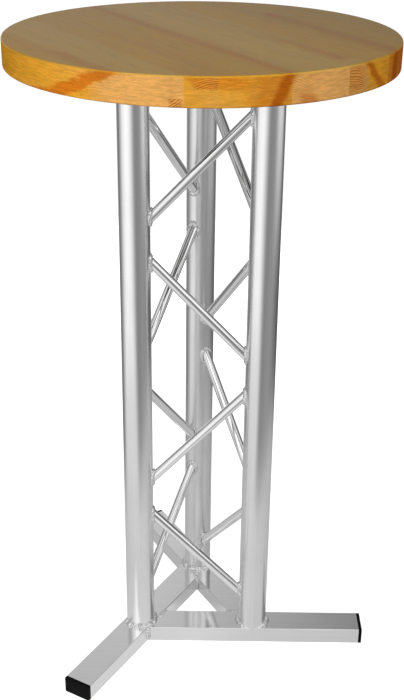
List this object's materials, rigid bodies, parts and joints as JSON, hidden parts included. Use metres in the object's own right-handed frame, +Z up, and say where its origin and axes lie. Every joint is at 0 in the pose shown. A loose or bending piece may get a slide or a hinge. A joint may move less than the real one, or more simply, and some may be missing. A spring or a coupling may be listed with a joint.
{
  "type": "pub table",
  "caption": "Round pub table: a glued pine top on a welded triangular aluminium truss that stands on a pinwheel of flat tubes.",
  "frame": {"origin": "on the floor, under the middle of the round top and of the three posts", "axes": "+Z up; the square-on face of the truss, with the foot that runs to +X, faces -Y"},
  "size_m": [0.6035, 0.6049, 1.082],
  "materials": {
    "stave_1": "clear lacquered pine",
    "stave_2": "clear lacquered pine",
    "stave_3": "clear lacquered pine",
    "stave_4": "clear lacquered pine",
    "stave_5": "clear lacquered pine",
    "stave_6": "clear lacquered pine",
    "stave_7": "clear lacquered pine",
    "plate": "mill",
    "screws": "yellow zinc plated",
    "posts": "semi-polished",
    "braces": "semi-polished",
    "base_tubes": "mill",
    "end_plugs": "satin black",
    "welds": "rippled weld bead"
  },
  "bodies": {
    "root": {"stave_1": "stave_1", "stave_2": "stave_2", "stave_3": "stave_3", "stave_4": "stave_4", "stave_5": "stave_5", "stave_6": "stave_6", "stave_7": "stave_7", "top_plate": "plate", "top_screws": "screws", "left_post": "posts", "right_post": "posts", "rear_post": "posts", "front_brace_1": "braces", "front_brace_2": "braces", "front_brace_3": "braces", "front_brace_4": "braces", "rear_right_brace_1": "braces", "rear_right_brace_2": "braces", "rear_right_brace_3": "braces", "rear_right_brace_4": "braces", "rear_left_brace_1": "braces", "rear_left_brace_2": "braces", "rear_left_brace_3": "braces", "rear_left_brace_4": "braces", "front_base_tube": "base_tubes", "rear_base_tube": "base_tubes", "left_base_tube": "base_tubes", "right_end_plug": "end_plugs", "rear_end_plug": "end_plugs", "left_end_plug": "end_plugs", "plate_welds": "welds", "brace_welds": "welds", "foot_welds": "welds", "corner_welds": "welds", "seam_welds": "welds"}
  },
  "joints": []
}
